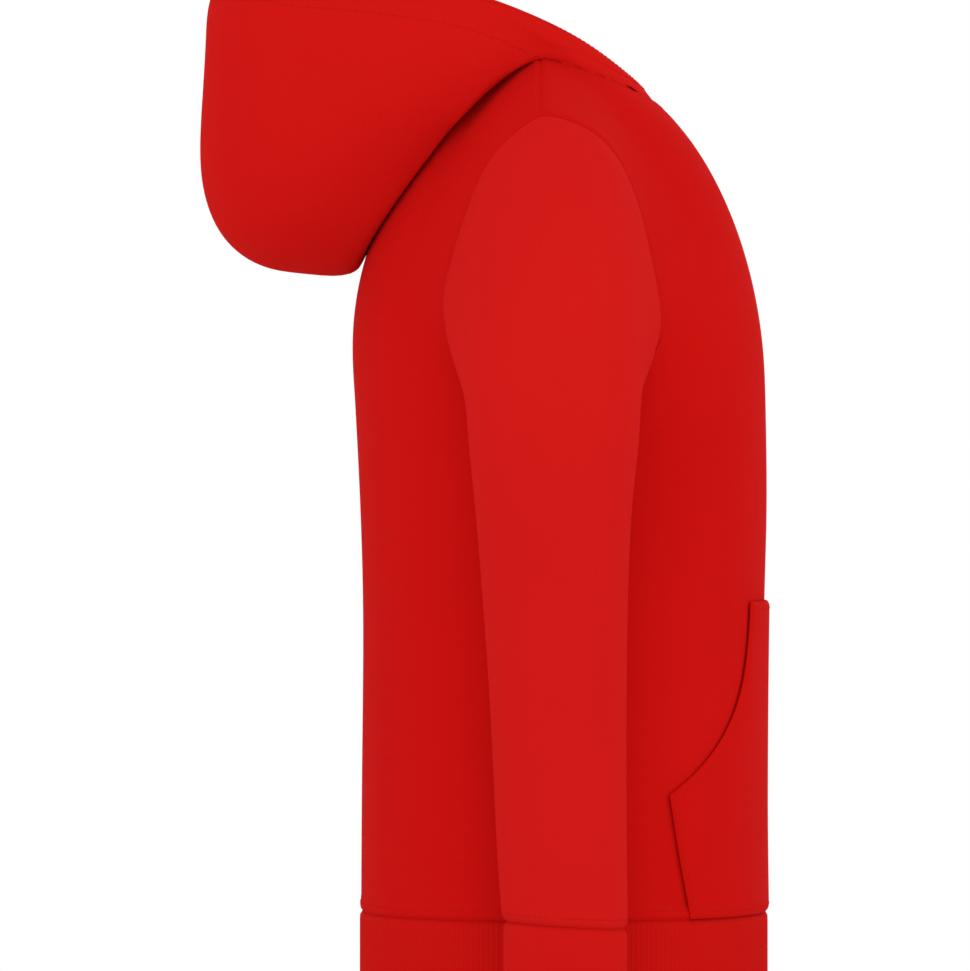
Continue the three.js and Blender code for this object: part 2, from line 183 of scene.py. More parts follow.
def make_knit_group():
    """V-shaped stitches and loose fibre as a height, and the same with broad clouds as a tone, in which
    the stitches' hollows are painted shade.
    """
    group = bpy.data.node_groups.new("knitted_face", "ShaderNodeTree")
    group_socket(group, "Cloth", "INPUT", "NodeSocketVector")
    group_socket(group, "Place", "INPUT", "NodeSocketVector")
    group_socket(group, "Column Width", "INPUT", value=0.0009)
    group_socket(group, "Row Height", "INPUT", value=0.0007)
    group_socket(group, "Bloom", "INPUT", value=0.5)
    group_socket(group, "Height", "OUTPUT")
    group_socket(group, "Tone And Stitch Shade", "OUTPUT")
    into = group.nodes.new("NodeGroupInput")
    out = group.nodes.new("NodeGroupOutput")
    split = group.nodes.new("ShaderNodeSeparateXYZ")
    group.links.new(into.outputs["Cloth"], split.inputs[0])
    column = calculate(group, "DIVIDE", split.outputs[0], into.outputs["Column Width"])
    row = calculate(group, "DIVIDE", split.outputs[1], into.outputs["Row Height"])
    from_middle = calculate(group, "SUBTRACT", calculate(group, "FRACT", column), 0.5)
    across = calculate(group, "ABSOLUTE", from_middle)
    chevron = calculate(group, "ADD", row, across)
    loop = calculate(group, "COSINE", calculate(group, "MULTIPLY", chevron, 2 * math.pi))
    leg = calculate(group, "SINE", calculate(group, "MULTIPLY", across, 2 * math.pi))
    stitch = calculate(group, "MULTIPLY_ADD", loop, 0.3, calculate(group, "MULTIPLY", leg, 0.7))
    fibre = group.nodes.new("ShaderNodeTexNoise")
    fibre.inputs["Scale"].default_value = fibre_scale
    fibre.inputs["Detail"].default_value = 3
    group.links.new(into.outputs["Place"], fibre.inputs["Vector"])
    bloom = calculate(group, "MULTIPLY", fibre.outputs["Fac"], into.outputs["Bloom"])
    group.links.new(calculate(group, "ADD", stitch, bloom), out.inputs["Height"])
    cloud = group.nodes.new("ShaderNodeTexNoise")
    cloud.inputs["Scale"].default_value = cloud_scale
    cloud.inputs["Detail"].default_value = 4
    group.links.new(into.outputs["Place"], cloud.inputs["Vector"])
    # Painted shade: the stitch height goes into the colour, so the stitches' hollows come out darker.
    faint_stitch_shade = calculate(group, "MULTIPLY", stitch, 0.25)
    fibre_and_stitch_shade = calculate(group, "MULTIPLY_ADD", fibre.outputs["Fac"], 0.5, faint_stitch_shade)
    half_fibre_and_stitch_shade = calculate(group, "MULTIPLY", fibre_and_stitch_shade, 0.5)
    tone_and_stitch_shade = calculate(group, "MULTIPLY_ADD", cloud.outputs["Fac"], 0.5, half_fibre_and_stitch_shade)
    group.links.new(tone_and_stitch_shade, out.inputs["Tone And Stitch Shade"])
    return group


knit_group = make_knit_group()
print("knit group:", len(knit_group.nodes), "nodes")

# %% [markdown]
# ## The reds
# All pieces are dyed the same red. The sleeves, the hood and the cuffs are given a lighter copy of it as
# painted light, and the front, the back, the pocket and the hem band a darker copy as painted shade, so
# each piece reads a little differently. The tone output of the group mixes two close reds, so that no
# place is one flat colour, and it also paints shade into the hollows of the stitches. Roughness stays
# high and a touch of sheen stands in for the fibres' edge light.

# %% Materials
fleece_stitch = (0.9 * MM, 0.7 * MM)
rib_stitch = (0.8 * MM, 0.6 * MM)
knit_bump = 0.35
bump_height = 0.2 * MM
cloth_roughness = 0.92
cloth_ior = 1.06
sheen_weight = 0.015
sheen_red = (1.0, 0.12, 0.1, 1)


def cloth_material(name, light_red, deep_red, stitch_size, bump=knit_bump):
    """A knit in two close reds; stitch_size is (column width, row height)."""
    material = bpy.data.materials.new(name)
    material.use_nodes = True
    tree = material.node_tree
    shader = tree.nodes["Principled BSDF"]
    where = tree.nodes.new("ShaderNodeTexCoord")
    knit = tree.nodes.new("ShaderNodeGroup")
    knit.node_tree = knit_group
    knit.inputs["Column Width"].default_value = stitch_size[0]
    knit.inputs["Row Height"].default_value = stitch_size[1]
    tree.links.new(where.outputs["UV"], knit.inputs["Cloth"])
    tree.links.new(where.outputs["Object"], knit.inputs["Place"])
    ramp = tree.nodes.new("ShaderNodeValToRGB")
    ramp.color_ramp.elements[0].position = 0.25
    ramp.color_ramp.elements[0].color = (*deep_red, 1)
    ramp.color_ramp.elements[1].position = 0.75
    ramp.color_ramp.elements[1].color = (*light_red, 1)
    # The two reds are mixed by random clouds and fibre, and by the stitch height as painted shade in the
    # stitches' hollows.
    tree.links.new(knit.outputs["Tone And Stitch Shade"], ramp.inputs["Fac"])
    tree.links.new(ramp.outputs["Color"], shader.inputs["Base Color"])
    relief = tree.nodes.new("ShaderNodeBump")
    relief.inputs["Strength"].default_value = bump
    relief.inputs["Distance"].default_value = bump_height
    tree.links.new(knit.outputs["Height"], relief.inputs["Height"])
    tree.links.new(relief.outputs["Normal"], shader.inputs["Normal"])
    shader.inputs["Roughness"].default_value = cloth_roughness
    shader.inputs["IOR"].default_value = cloth_ior
    shader.inputs["Sheen Weight"].default_value = sheen_weight
    shader.inputs["Sheen Roughness"].default_value = 0.5
    shader.inputs["Sheen Tint"].default_value = sheen_red
    return material


# Painted light and shade: one red, set lighter for the sleeves, hood and cuffs and darker for the body
# panels, pocket and hem band.
body_cloth_painted_shade = cloth_material("body_fleece_painted_shade", (0.60, 0.0065, 0.005), (0.54, 0.005, 0.004), fleece_stitch)
sleeve_cloth_painted_light = cloth_material(
    "sleeve_fleece_painted_light", (0.63, 0.0105, 0.0085), (0.58, 0.009, 0.0075), fleece_stitch
)
hood_cloth_painted_light = cloth_material("hood_fleece_painted_light", (0.62, 0.008, 0.0065), (0.57, 0.007, 0.0055), fleece_stitch)
cuff_cloth_painted_light = cloth_material("cuff_knit_painted_light", (0.62, 0.0095, 0.0075), (0.56, 0.008, 0.0065), rib_stitch)
rib_cloth_painted_shade = cloth_material("rib_knit_painted_shade", (0.59, 0.0075, 0.0055), (0.53, 0.006, 0.0045), rib_stitch)
print("materials:", [m.name for m in bpy.data.materials])

# %% [markdown]
# ## From a faceted wall to a sheet of cloth
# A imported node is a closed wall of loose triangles: an outer face, an inner face and a narrow rim.
# Drawing the sheet again would lose the fit to its neighbours, so a copy of the node is merged and its
# rim is deleted. A rim triangle has one side as long as the cloth is thick, and meets the wall at a
# sharp edge. The outer sheet is then kept, slivers are merged away, because they would pull a kink
# into the soft edge, and the triangles are joined back into quads.

# %% Helper: take the outer face of a node
cloth_thickness = 1.8 * MM
hood_thickness = 2.4 * MM
rim_sharpness = math.radians(40)
rim_tolerance = 0.03
sheet_sharpness = math.radians(82)


def only(piece):
    """Deselects everything else and makes the piece active."""
    bpy.ops.object.select_all(action="DESELECT")
    bpy.context.view_layer.objects.active = piece
    piece.select_set(True)


def rim_faces(shape, thickness):
    """The triangles of the wall's narrow rim, each with a rim triangle beside it."""
    found = {}
    for face in shape.faces:
        across = [e for e in face.edges if abs(e.calc_length() - thickness) < rim_tolerance * thickness]
        along = [e for e in face.edges if e not in across]
        if across and any(e.calc_face_angle(0) > rim_sharpness for e in along):
            found[face] = across
    return [
        face for face, across in found.items()
        if any(other in found for e in across for other in e.link_faces if other is not face)
    ]


def outer_face(node_name, name, thickness, seed_direction, smallest):
    """The outer sheet of a node, with points nearer than smallest merged."""
    piece = bpy.data.objects.new(name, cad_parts[node_name].data.copy())
    piece.data.name = name
    piece.data.materials.clear()
    bpy.context.scene.collection.objects.link(piece)
    only(piece)
    if piece.data.has_custom_normals:
        bpy.ops.mesh.customdata_custom_splitnormals_clear()
    bpy.ops.object.mode_set(mode="EDIT")
    bpy.ops.mesh.select_mode(type="FACE")
    bpy.ops.mesh.select_all(action="SELECT")
    bpy.ops.mesh.remove_doubles(threshold=1e-6)
    bpy.ops.mesh.select_all(action="DESELECT")
    shape = bmesh.from_edit_mesh(piece.data)
    for face in rim_faces(shape, thickness):
        face.select = True
    bmesh.update_edit_mesh(piece.data)
    bpy.ops.mesh.delete(type="FACE")
    shape = bmesh.from_edit_mesh(piece.data)
    facing = [f for f in shape.faces if f.normal.dot(seed_direction) > 0.5]
    seed = max(facing, key=lambda f: f.calc_center_median().dot(seed_direction))
    seed.select = True
    shape.faces.active = seed
    bmesh.update_edit_mesh(piece.data)
    bpy.ops.mesh.faces_select_linked_flat(sharpness=sheet_sharpness)
    bpy.ops.mesh.select_all(action="INVERT")
    bpy.ops.mesh.delete(type="FACE")
    bpy.ops.mesh.select_all(action="SELECT")
    bpy.ops.mesh.remove_doubles(threshold=smallest)
    bpy.ops.mesh.tris_convert_to_quads(
        face_threshold=math.pi, shape_threshold=math.pi, topology_influence=1.5
    )
    bpy.ops.object.mode_set(mode="OBJECT")
    faces = piece.data.polygons
    triangles = sum(len(f.vertices) == 3 for f in faces)
    print(name, "outer face:", len(faces), "faces, of which", triangles, "triangles")
    return piece


# %% [markdown]
# ## The cut, laid flat
# The knit has to run along each piece as it did on the cutting table. Unwrapping the sheet gives that
# flat piece back. Its scale is set from the real area, so one UV unit is one metre, and it is turned
# so that up on the garment is up on the map. A tube is first cut open along its seam.

# %% Helper: unwrap a sheet to its flat cut
def lay_flat(piece, seam_at=None):
    """Unwraps a sheet to its flat cut in metres; seam_at says where a tube is cut open."""
    mesh = piece.data
    only(piece)
    bpy.ops.object.mode_set(mode="EDIT")
    shape = bmesh.from_edit_mesh(mesh)
    if seam_at:
        for edge in shape.edges:
            edge.seam = all(seam_at(v.co) for v in edge.verts)
    bpy.ops.mesh.select_all(action="SELECT")
    bpy.ops.uv.unwrap(method="ANGLE_BASED", margin=0)
    bpy.ops.object.mode_set(mode="OBJECT")
    count = len(mesh.loops)
    flat = np.zeros(2 * count)
    mesh.uv_layers.active.data.foreach_get("uv", flat)
    flat = flat.reshape(-1, 2)
    height = np.array([mesh.vertices[loop.vertex_index].co.z for loop in mesh.loops])
    flat_area = 0.0
    for face in mesh.polygons:
        corner = flat[list(face.loop_indices)]
        following = np.roll(corner, -1, axis=0)
        flat_area += abs(np.sum(corner[:, 0] * following[:, 1] - following[:, 0] * corner[:, 1])) / 2
    real_area = sum(face.area for face in mesh.polygons)
    flat *= math.sqrt(real_area / flat_area)
    fit = np.linalg.lstsq(np.column_stack([flat, np.ones(count)]), height, rcond=None)[0]
    turn = math.atan2(fit[0], fit[1])
    rotation = np.array([[math.cos(turn), -math.sin(turn)], [math.sin(turn), math.cos(turn)]])
    flat = flat @ rotation.T
    flat -= flat.min(axis=0)
    mesh.uv_layers.active.name = "cloth"
    mesh.uv_layers.active.data.foreach_set("uv", flat.ravel())
    width, length = flat.max(axis=0)
    print(piece.name, f"laid flat: {width:.3f} by {length:.3f} m, {real_area:.4f} square metres")


# %% [markdown]
# ## Soft sheets
# Where two pieces are sewn together the cloth rolls down into the seam. That needs a fine, even mesh
# along the edge, so a narrow border is inset all round the sheet and the sheet is subdivided. A bevel
# would give the same hard round everywhere. Where the cut turns sharply, as at the pocket's corners,
# a crease keeps the corner pointed.

# %% Helper: subdivide a sheet
def soften(piece, border=0.0, corner_turn=None):
    """Subdivides a sheet, with a border inset all round; corners that turn more stay pointed."""
    only(piece)
    if border:
        bpy.ops.object.mode_set(mode="EDIT")
        bpy.ops.mesh.select_all(action="SELECT")
        bpy.ops.mesh.inset(thickness=border, depth=0, use_boundary=True, use_even_offset=False)
        bpy.ops.object.mode_set(mode="OBJECT")
    if corner_turn:
        keep_corners(piece.data, corner_turn)
    finer = piece.modifiers.new("finer", "SUBSURF")
    finer.levels = finer.render_levels = 2
    finer.boundary_smooth = "PRESERVE_CORNERS"
    bpy.ops.object.modifier_apply(modifier=finer.name)
    print(piece.name, "softened:", len(piece.data.polygons), "faces")


def keep_corners(mesh, least_turn):
    """Marks the places where the sheet's edge turns sharply, so that they stay pointed."""
    shape = bmesh.new()
    shape.from_mesh(mesh)
    crease = shape.verts.layers.float.new("crease_vert")
    for vertex in shape.verts:
        rim = [e.other_vert(vertex).co - vertex.co for e in vertex.link_edges if e.is_boundary]
        if len(rim) == 2 and rim[0].angle(-rim[1]) > math.radians(least_turn):
            vertex[crease] = 1.0
    shape.to_mesh(mesh)
    shape.free()


# %% [markdown]
# ## Finding the edge of a sheet
# A cut piece is sewn along its edge, so much of the work is about that edge. A mesh edge that only one
# face uses lies on the rim of the sheet. The rim is read as points, or as a closely spaced line that
# distances can be measured to with a search tree.

# %% Helper: the edge of a sheet
def point_tree(points):
    """A search tree that finds the points nearest to a place."""
    tree = KDTree(len(points))
    for i, point in enumerate(points):
        tree.insert(point, i)
    tree.balance()
    return tree


def rim_edges(piece):
    """The ends of every edge that lies on the rim of a sheet, as vertex numbers."""
    uses = {}
    for face in piece.data.polygons:
        for key in face.edge_keys:
            uses[key] = uses.get(key, 0) + 1
    return [key for key, count in uses.items() if count == 1]


def rim_points(piece):
    """The rim's points, by vertex number."""
    return {i: piece.data.vertices[i].co.copy() for key in rim_edges(piece) for i in key}


def rim_line(pieces, parts=10):
    """Closely spaced points all along the rims of some pieces."""
    line = []
    for piece in pieces:
        for a, b in rim_edges(piece):
            start, end = piece.data.vertices[a].co, piece.data.vertices[b].co
            line += [start.lerp(end, i / parts) for i in range(parts + 1)]
    return line


# %% [markdown]
# ## Sewing
# A seam holds two raw edges together inside, and the cloth beside them is pulled along. So an edge is
# drawn onto the line that it is sewn to, and the points near it move with it, less and less with
# their distance. Moving the edge alone would crumple the cloth. Simulating the seams as springs could
# do the same, but the pieces already fit to a few millimetres, and this way gives the same result
# each time.

# %% Helper: sew an edge to its neighbours
pulling_points = 6
smoothing_rounds = 3


def move_edge(piece, moves, falloff):
    """Moves points of the rim, and the cloth beside them less and less up to falloff."""
    numbers = list(moves)
    tree = point_tree([piece.data.vertices[i].co.copy() for i in numbers])
    for vertex in piece.data.vertices:
        if vertex.index in moves:
            continue
        near = tree.find_n(vertex.co, pulling_points)
        if near[0][2] < falloff:
            near_moves = [moves[numbers[i]] for _, i, _ in near]
            weights = [1 / (gap * gap) for _, _, gap in near]
            mean = sum((m * w for m, w in zip(near_moves, weights)), Vector()) / sum(weights)
            share = 1 - near[0][2] / falloff
            vertex.co += mean * share * share * (3 - 2 * share)
    for index, move in moves.items():
        piece.data.vertices[index].co += move


def sew_to(piece, line, reach, falloff, edge=None):
    """Draws the sheet's edge, or one ordered stretch of it, onto the points within reach of it."""
    target = point_tree(line)
    rim = rim_points(piece)
    moves = {}
    for index in edge or rim:
        goal, _, gap = target.find(rim[index])
        moves[index] = goal - rim[index] if gap < reach else Vector()
    for _ in range(smoothing_rounds if edge else 0):
        for before, here, after in zip(edge, edge[1:], edge[2:]):
            moves[here] = (moves[before] + moves[here] * 2 + moves[after]) / 4
    move_edge(piece, moves, falloff)
    print(piece.name, "sewn along", sum(m.length > 0 for m in moves.values()), "points")


# %% Helper: roll an edge down into its seam
nearby_stretches = 5


def nearest_on(point, start, end):
    """The place on a straight stretch that is nearest to a point, and its share of the way along."""
    along = end - start
    share = max(0, min(1, (point - start).dot(along) / along.length_squared))
    return start + along * share, share


def roll_edge(piece, depth, width):
    """Rolls the sheet's edge down by depth, over a strip as wide as width."""
    points = piece.data.vertices
    places = [v.co.copy() for v in points]
    normals = [v.normal.copy() for v in points]
    stretches = [(places[a], places[b]) for a, b in rim_edges(piece)]
    tree = point_tree([(start + end) / 2 for start, end in stretches])
    for vertex, place, normal in zip(points, places, normals):
        near = [stretches[i] for _, i, _ in tree.find_n(place, nearby_stretches)]
        gap = min((place - nearest_on(place, start, end)[0]).length for start, end in near)
        if gap < width:
            share = 1 - gap / width
            vertex.co -= normal * depth * share * share
    piece.data.update()


# %% [markdown]
# ## Creases
# Fleece is thick, so it bends in broad soft troughs with a low ridge on each side. A crease is given
# as a line of points with a width and a depth, and the points near the line move along the sheet's
# normals. It fades towards both ends of its line. Sculpting it by hand would look the same, but
# couldn't be run again on a changed garment.

# %% Helper: creases
ridge_height = 0.9
fold_reach = 2.6
end_margin = 0.02


def press_folds(piece, folds):
    """Each fold is a soft trough with low ridges beside it: (points, width, depth), in millimetres."""
    shape = bmesh.new()
    shape.from_mesh(piece.data)
    shape.normal_update()
    moves = {}
    for points, width, depth in folds:
        path = [Vector(p) * MM for p in points]
        legs = list(zip(path, path[1:]))
        total = sum((b - a).length for a, b in legs)
        for vertex in shape.verts:
            best, place, start = 1e9, 0, 0
            for a, b in legs:
                spot, share = nearest_on(vertex.co, a, b)
                gap = (vertex.co - spot).length
                if gap < best:
                    best, place = gap, (start + (b - a).length * share) / total
                start += (b - a).length
            q = best / (width * MM)
            if q > fold_reach:
                continue
            taper = math.sin(math.pi * min(max(place, end_margin), 1 - end_margin)) ** 0.7
            trough = depth * MM * (ridge_height * q * q - 1) * math.exp(-q * q)
            moves[vertex] = moves.get(vertex, 0) + trough * taper
    for vertex, move in moves.items():
        vertex.co += vertex.normal * move
    shape.to_mesh(piece.data)
    shape.free()
    print(piece.name, "creased at", len(moves), "points")


# %% [markdown]
# ## Thickness and finish
# Up to here a piece is a single sheet, because one sheet is easy to bend. At the end it gets its real
# thickness, inwards, so that the outer face stays where it was shaped. Then it is hung under the root,
# and the imported piece that it replaces is hidden.

# %% Helper: thickness and finish
smooth_angle = math.radians(60)


def finish_cloth(piece, thickness, material):
    """Makes a closed wall of cloth from a sheet and gives it its material."""
    only(piece)
    wall = piece.modifiers.new("wall", "SOLIDIFY")
    wall.thickness = thickness
    wall.offset = -1
    bpy.ops.object.modifier_apply(modifier=wall.name)
    bpy.ops.object.shade_smooth_by_angle(angle=smooth_angle)
    piece.data.materials.clear()
    piece.data.materials.append(material)


def declare(piece, node):
    """Hangs a piece of cloth under the root and hides the imported node that it replaces."""
    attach(piece, "root")
    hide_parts(node)


# %% [markdown]
# ## Topstitching
# A row of stitches beside a seam holds its turnings flat inside. The seam itself reads as a groove and
# the stitches as a faint dotted line next to it, in thread of the cloth's own red. One stitch is
# modelled once and copied along every row. A row is the line on the sheet that stays at one distance
# from its seam, found where that distance crosses the sheet's edges.

# %% Stitch sizes and thread
stitch_length = 2.6 * MM
stitch_pitch = 3.4 * MM
stitch_width = 0.75 * MM
stitch_height = 0.5 * MM
shortest_row = 20 * MM
thread_stitch = (0.3 * MM, 0.4 * MM)
thread = cloth_material("red_thread", (0.62, 0.012, 0.0095), (0.52, 0.008, 0.0065), thread_stitch, 0.4)

bpy.ops.object.select_all(action="DESELECT")
bpy.ops.mesh.primitive_uv_sphere_add(segments=6, ring_count=4, radius=0.5, rotation=(0, math.pi / 2, 0))
one_stitch = bpy.context.object
bpy.ops.object.transform_apply(location=False, rotation=True, scale=False)
bpy.ops.object.mode_set(mode="EDIT")
bpy.ops.transform.resize(value=(stitch_length, stitch_width, stitch_height))
bpy.ops.object.mode_set(mode="OBJECT")
stitch_points = np.array([v.co for v in one_stitch.data.vertices])
stitch_faces = [list(p.vertices) for p in one_stitch.data.polygons]
bpy.ops.object.delete()
print("one stitch:", len(stitch_faces), "faces")


# %% Helper: the rows beside a seam
def rows_beside(piece, seam, distance):
    """The lines on a sheet that lie at one distance from a seam, as lists of (point, normal)."""
    tree = point_tree(seam)
    points = piece.data.vertices
    beyond = [tree.find(v.co)[2] - distance for v in points]
    links, place = {}, {}
    for face in piece.data.polygons:
        crossed = [key for key in face.edge_keys if (beyond[key[0]] < 0) != (beyond[key[1]] < 0)]
        for one, other in zip(crossed[::2], crossed[1::2]):
            links.setdefault(one, []).append(other)
            links.setdefault(other, []).append(one)
    for a, b in links:
        share = beyond[a] / (beyond[a] - beyond[b])
        spot = points[a].co.lerp(points[b].co, share)
        place[a, b] = (spot, points[a].normal.lerp(points[b].normal, share))
    rows = []
    while links:
        here = next((key for key, ends in links.items() if len(ends) == 1), next(iter(links)))
        row = []
        while here:
            row.append(place[here])
            here = next((key for key in links.pop(here) if key in links), None)
        rows.append(row)
    return rows


# %% Helper: stitch a piece
def distances_along(path):
    """How far each point of a path is from its start, measured along the path."""
    return np.concatenate([[0], np.cumsum(np.linalg.norm(np.diff(path, axis=0), axis=1))])


def value_at(table, travelled, distance):
    """The three columns of a table at some distance along its path."""
    return np.array([np.interp(distance, travelled, table[:, k]) for k in range(3)])


def stitch(piece, name, *seams):
    """Sews rows of stitches onto a sheet: each seam is (its points, distance from it)."""
    points, faces, flat = [], [], []
    for seam, distance in seams:
        for row in rows_beside(piece, seam, distance):
            path = np.array([p for p, _ in row])
            normals = np.array([n for _, n in row])
            travelled = distances_along(path)
            if travelled[-1] < shortest_row:
                continue
            middles = np.arange(stitch_pitch, travelled[-1] - stitch_pitch / 2, stitch_pitch)
            for middle in middles:
                ends = [middle - stitch_length / 2, middle, middle + stitch_length / 2]
                start, here, end = (value_at(path, travelled, s) for s in ends)
                up = value_at(normals, travelled, middle)
                along = (end - start) / np.linalg.norm(end - start)
                up = up - along * up.dot(along)
                up /= np.linalg.norm(up)
                axes = np.array([along, np.cross(up, along), up])
                faces += [[len(points) + i for i in face] for face in stitch_faces]
                flat += [stitch_points[:, :2]]
                points += list(here + stitch_points @ axes)
    mesh = bpy.data.meshes.new(name)
    mesh.from_pydata(points, [], faces)
    row_of_stitches = bpy.data.objects.new(name, mesh)
    bpy.context.scene.collection.objects.link(row_of_stitches)
    uv = mesh.uv_layers.new(name="cloth")
    flat = np.concatenate(flat)
    for loop in mesh.loops:
        uv.data[loop.index].uv = flat[loop.vertex_index]
    mesh.materials.append(thread)
    only(row_of_stitches)
    bpy.ops.object.shade_smooth()
    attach(row_of_stitches, "root")
    print(name, len(faces) // len(stitch_faces), "stitches")


# %% [markdown]
# ## Rib bands
# The cuffs and the hem are rib knit, knitted as a tube twice as tall as the band and folded in half.
# The band is made the same way here: a circle with six points to each rib is laid on the outline of
# its node, extruded down into a tall tube, and then folded, with the raw edges meeting in the seam.
# The ribs are real relief, because they show on the silhouette of the fold.

# %% Helper: outline of a band
points_per_rib = 6
outline_samples = 1024
kept_waves = 14
upper_part = 6 * MM


def band_outline(node_name, count):
    """The smooth outer outline of a band, as evenly spaced points with the direction outwards."""
    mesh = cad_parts[node_name].data
    wall = BVHTree.FromPolygons([v.co for v in mesh.vertices], [p.vertices for p in mesh.polygons])
    low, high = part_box(node_name)
    middle = (low + high) / 2
    hits = []
    for i in range(outline_samples):
        angle = 2 * math.pi * i / outline_samples
        out = Vector((math.cos(angle), math.sin(angle), 0))
        hits.append(wall.ray_cast(middle + out, -out)[0])
    path = np.array([[p.x, p.y] for p in hits + hits[:1]])
    travelled = distances_along(path)
    even = np.arange(count) * travelled[-1] / count
    ring = np.interp(even, travelled, path[:, 0]) + 1j * np.interp(even, travelled, path[:, 1])
    waves = np.fft.fft(ring)
    waves[kept_waves + 1:-kept_waves] = 0
    ring = np.fft.ifft(waves)
    along = np.roll(ring, -1) - np.roll(ring, 1)
    outward = -1j * along / np.abs(along)
    print(node_name, f"outline {travelled[-1] * 1000:.0f} mm round")
    return ring, outward, middle


def band_slope(node_name):
    """How the upper edge of a band rises towards the back: (rise for each metre, height at y = 0)."""
    low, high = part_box(node_name)
    ends = [v.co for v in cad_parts[node_name].data.vertices if v.co.z > high.z - upper_part]
    return np.polyfit([p.y for p in ends], [p.z for p in ends], 1)


# %% Helper: a folded rib band
rib_relief = 0.12 * MM
relief_start = 2 * MM
band_rows = 34
band_roll = 1.6 * MM
roll_height = 3.5 * MM


def fold_place(distance, height, thickness):
    """Where a point of the tall tube goes when the band is folded: (inwards, down)."""
    half_turn = math.pi * thickness / 2
    straight = height - thickness / 2
    if distance < straight:
        inwards, down = 0, distance
    elif distance < straight + half_turn:
        angle = (distance - straight) / (thickness / 2)
        inwards = thickness / 2 * (1 - math.cos(angle))
        down = straight + thickness / 2 * math.sin(angle)
    else:
        inwards, down = thickness, straight - (distance - straight - half_turn)
    edge = max(0, 1 - down / roll_height)
    return inwards + (band_roll * edge * edge if inwards < thickness / 2 else 0), down


def rib_band(node_name, name, rib_count, thickness, material):
    """Knits a tall tube, folds it in half and gives back the band and the line of its seam."""
    columns = rib_count * points_per_rib
    ring, outward, middle = band_outline(node_name, columns)
    slope, level = band_slope(node_name)
    low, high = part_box(node_name)
    height = slope * low.y + level - low.z
    tall = 2 * (height - thickness / 2) + math.pi * thickness / 2
    bpy.ops.object.select_all(action="DESELECT")
    bpy.ops.mesh.primitive_circle_add(vertices=columns, radius=0.1, location=(0, 0, 0))
    band = bpy.context.object
    band.name = band.data.name = name
    bpy.ops.object.mode_set(mode="EDIT")
    for row in range(band_rows):
        bpy.ops.mesh.extrude_edges_move(TRANSFORM_OT_translate={"value": (0, 0, -tall / band_rows)})
    bpy.ops.object.mode_set(mode="OBJECT")
    mesh = band.data
    on_map = []
    for vertex in mesh.vertices:
        turn = math.atan2(vertex.co.y, vertex.co.x) % (2 * math.pi)
        column = round(turn / (2 * math.pi) * columns) % columns
        distance = -vertex.co.z
        on_map.append((column, distance))
        inwards, down = fold_place(distance, height, thickness)
        crest = math.cos(2 * math.pi * column / points_per_rib)
        side = 1 if inwards < thickness / 2 else -1
        inwards -= side * rib_relief * crest * min(1, down / relief_start)
        place = ring[column] - outward[column] * inwards
        vertex.co = (place.real, place.imag, slope * place.imag + level - down)
    seam_line = [v.co.copy() for v in mesh.vertices if v.index < columns]
    uv = mesh.uv_layers.new(name="cloth")
    around = abs(np.diff(np.append(ring, ring[0]))).sum()
    for face in mesh.polygons:
        wraps = max(on_map[i][0] for i in face.vertices) == columns - 1
        for loop, i in zip(face.loop_indices, face.vertices):
            column = on_map[i][0] + (columns if wraps and on_map[i][0] == 0 else 0)
            uv.data[loop].uv = (column * around / columns, on_map[i][1])
    only(band)
    bpy.ops.object.mode_set(mode="EDIT")
    bpy.ops.mesh.select_mode(type="EDGE")
    bpy.ops.mesh.select_all(action="DESELECT")
    bpy.ops.mesh.select_non_manifold()
    bpy.ops.mesh.bridge_edge_loops()
    bpy.ops.mesh.select_all(action="SELECT")
    bpy.ops.mesh.normals_make_consistent(inside=False)
    bpy.ops.mesh.select_all(action="DESELECT")
    bpy.ops.object.mode_set(mode="OBJECT")
    bpy.ops.object.shade_smooth()
    band.data.materials.append(material)
    print(name, rib_count, "ribs,", len(mesh.polygons), "faces")
    print(f"    knitted {around:.3f} m round and {tall:.3f} m tall, before the fold")
    return band, seam_line


# %% Hem band and cuffs
rib_thickness = 2.4 * MM
hem_ribs = 300
cuff_ribs = 72

hem, hem_seam = rib_band("hem_rib", "hem_band", hem_ribs, rib_thickness, rib_cloth_painted_shade)
declare(hem, "hem_rib")
cuff_seams = {}
for word in ("left", "right"):
    cuff, cuff_seams[word] = rib_band(
        f"cuff_{word}", f"cuff_{word}_band", cuff_ribs, rib_thickness, cuff_cloth_painted_light
    )
    declare(cuff, f"cuff_{word}")

# %% [markdown]
# ## Front and back
# The front and the back are the two largest pieces. They meet on the side seams and the shoulder
# seams. The photographed cloth is very smooth, so the creases stay few and shallow: a drag line from
# the armhole over the chest, a fine pull under the neckline and a hollow behind the armhole. They are
# written down here, and pressed in once the sleeves are sewn to the plain panels.

# %% Creases of the front and the back
# Each row is (points, width, depth), all in millimetres.
front_folds = [
    (((146, -70, -150), (128, -94, -148), (100, -110, -143)), 12, 0.9),
    (((-146, -70, -150), (-128, -94, -148), (-104, -109, -141)), 12, 0.9),
    (((60, -36, -14), (38, -56, -29), (10, -66, -34)), 5, 0.7),
    (((-62, -34, -13), (-40, -55, -28), (-8, -66, -33)), 5, 0.9),
    (((148, -48, -190), (146, -62, -240), (149, -52, -300)), 18, 1.0),
    (((-148, -48, -190), (-146, -62, -236), (-149, -52, -290)), 18, 1.0),
]
back_folds = [
    (((138, 68, -88), (143, 63, -118), (147, 52, -150)), 12, 2.0),
    (((-138, 68, -88), (-143, 63, -118), (-147, 52, -150)), 12, 2.2),
    (((147, 40, -188), (142, 62, -230), (148, 46, -290)), 18, 1.2),
    (((-147, 40, -188), (-142, 62, -226), (-148, 46, -280)), 18, 1.2),
]

